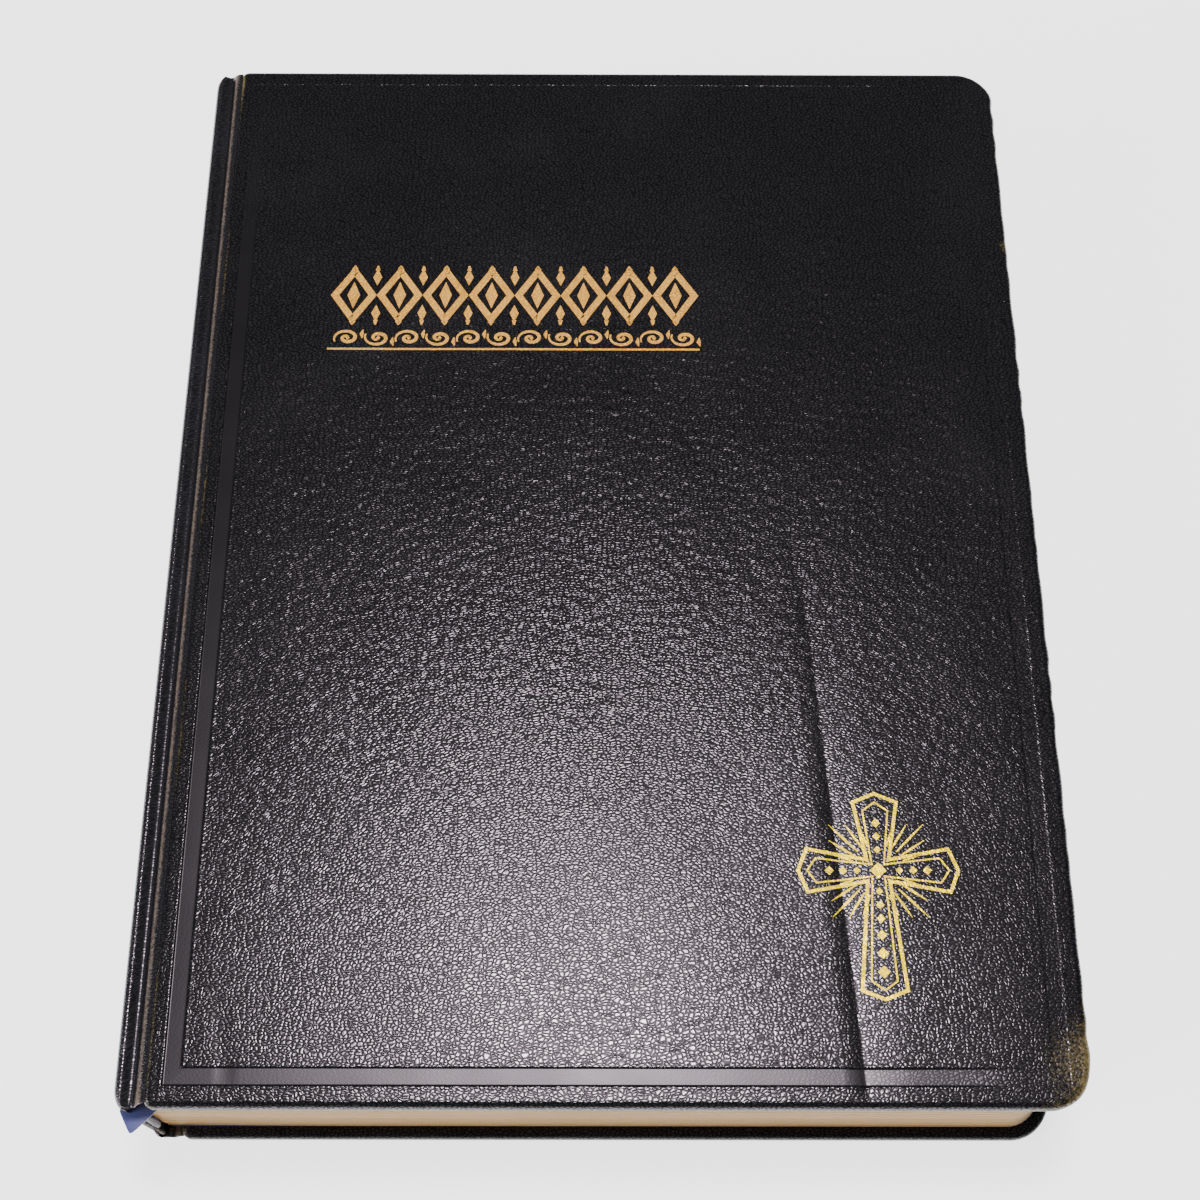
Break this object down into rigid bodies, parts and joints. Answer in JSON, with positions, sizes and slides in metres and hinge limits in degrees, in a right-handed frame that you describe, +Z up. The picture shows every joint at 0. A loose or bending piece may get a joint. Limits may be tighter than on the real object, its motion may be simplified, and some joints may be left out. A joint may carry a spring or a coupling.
{
  "type": "presentation bible",
  "caption": "Large closed book with padded black leather covers, gilt page edges, gold-foil ornament, and covers and leaves that turn.",
  "frame": {"origin": "middle of the closed book's footprint, on the surface that the back cover lies on", "axes": "+X from the spine to the fore-edge, +Y from the foot to the head of the page, +Z up out of the front cover"},
  "size_m": [0.229, 0.3046, 0.0521],
  "materials": {
    "black_leather": "pebble-grained, satin",
    "joint_leather": "smooth, worn",
    "spine_black_leather": "grained, rubbed at the edges",
    "binders_board": "grey board",
    "padding_foam": "thin felt padding",
    "endpaper_blue": "blue text paper",
    "leaf_paper": "thin cream paper with gilt edge",
    "gilt_pages": "gilt page edges",
    "spine_card": "grey card",
    "lining_blue": "blue lining paper",
    "mull_cloth": "open gauze",
    "linen_tape": "linen tape",
    "linen_thread": "waxed linen",
    "headband_cloth": "blue and gold stripes",
    "ribbon_satin": "blue satin",
    "gold_foil": "stamped gold foil"
  },
  "bodies": {
    "text_block": {"spine_leather": "spine_black_leather", "spine_stiffener": "spine_card", "spine_lining": "lining_blue", "spine_mull": "mull_cloth", "sewing_tapes": "linen_tape", "sewing_thread": "linen_thread", "headband": "headband_cloth", "tailband": "headband_cloth", "page_sections": "gilt_pages", "ribbon_marker": "ribbon_satin"},
    "front_cover": {"front_cover_leather": "black_leather", "front_padding": "padding_foam", "front_board": "binders_board", "front_pastedown": "endpaper_blue", "front_joint_leather": "joint_leather", "title_foil": "gold_foil", "scroll_foil": "gold_foil", "emblem_foil": "gold_foil"},
    "back_cover": {"back_cover_leather": "black_leather", "back_padding": "padding_foam", "back_board": "binders_board", "back_pastedown": "endpaper_blue", "back_joint_leather": "joint_leather"},
    "front_endpaper": {"front_free_endpaper": "endpaper_blue"},
    "presentation_page": {"presentation_leaf": "leaf_paper"},
    "title_page": {"title_leaf": "leaf_paper"},
    "front_page_stack": {"front_pages": "gilt_pages"},
    "leaf_4": {"page_leaf_4": "leaf_paper"},
    "leaf_3": {"page_leaf_3": "leaf_paper"},
    "leaf_2": {"page_leaf_2": "leaf_paper"},
    "leaf_1": {"page_leaf_1": "leaf_paper"},
    "back_endpaper": {"back_free_endpaper": "endpaper_blue"}
  },
  "joints": [
    {"name": "front_cover_hinge", "type": "hinge", "parent": "text_block", "child": "front_cover", "pos_m": [-0.1113, 0, 0.0482], "axis": [0, -1, 0], "range_deg": [0, 179.5]},
    {"name": "back_cover_hinge", "type": "hinge", "parent": "text_block", "child": "back_cover", "pos_m": [-0.1113, 0, 0.0038], "axis": [0, 1, 0], "range_deg": [0, 179.5]},
    {"name": "front_endpaper_turn", "type": "hinge", "parent": "text_block", "child": "front_endpaper", "pos_m": [-0.1113, 0, 0.0482], "axis": [0, -1, 0], "range_deg": [0, 178.6]},
    {"name": "presentation_page_turn", "type": "hinge", "parent": "text_block", "child": "presentation_page", "pos_m": [-0.1113, 0, 0.0482], "axis": [0, -1, 0], "range_deg": [0, 177.1]},
    {"name": "title_page_turn", "type": "hinge", "parent": "text_block", "child": "title_page", "pos_m": [-0.1113, 0, 0.0482], "axis": [0, -1, 0], "range_deg": [0, 175.7]},
    {"name": "front_page_stack_turn", "type": "hinge", "parent": "text_block", "child": "front_page_stack", "pos_m": [-0.1113, 0, 0.0482], "axis": [0, -1, 0], "range_deg": [0, 173.7]},
    {"name": "leaf_4_turn", "type": "hinge", "parent": "text_block", "child": "leaf_4", "pos_m": [-0.1113, 0, 0.0482], "axis": [0, -1, 0], "range_deg": [0, 162.1]},
    {"name": "leaf_3_turn", "type": "hinge", "parent": "text_block", "child": "leaf_3", "pos_m": [-0.1113, 0, 0.0482], "axis": [0, -1, 0], "range_deg": [0, 129.7]},
    {"name": "leaf_2_turn", "type": "hinge", "parent": "text_block", "child": "leaf_2", "pos_m": [-0.1113, 0, 0.0482], "axis": [0, -1, 0], "range_deg": [0, 90.2]},
    {"name": "leaf_1_turn", "type": "hinge", "parent": "text_block", "child": "leaf_1", "pos_m": [-0.1113, 0, 0.0482], "axis": [0, -1, 0], "range_deg": [0, 45.4]},
    {"name": "back_endpaper_turn", "type": "hinge", "parent": "text_block", "child": "back_endpaper", "pos_m": [-0.1113, 0, 0.0038], "axis": [0, 1, 0], "range_deg": [0, 180]}
  ],
  "couplings": [
    {"joint": "front_endpaper_turn", "follows": "front_cover_hinge", "ratio": 0.992},
    {"joint": "presentation_page_turn", "follows": "front_cover_hinge", "ratio": 0.984},
    {"joint": "title_page_turn", "follows": "front_cover_hinge", "ratio": 0.976},
    {"joint": "front_page_stack_turn", "follows": "front_cover_hinge", "ratio": 0.965},
    {"joint": "leaf_4_turn", "follows": "front_cover_hinge", "ratio": 0.9},
    {"joint": "leaf_3_turn", "follows": "front_cover_hinge", "ratio": 0.72},
    {"joint": "leaf_2_turn", "follows": "front_cover_hinge", "ratio": 0.5},
    {"joint": "leaf_1_turn", "follows": "front_cover_hinge", "ratio": 0.25},
    {"joint": "back_endpaper_turn", "follows": "back_cover_hinge", "ratio": 1}
  ]
}
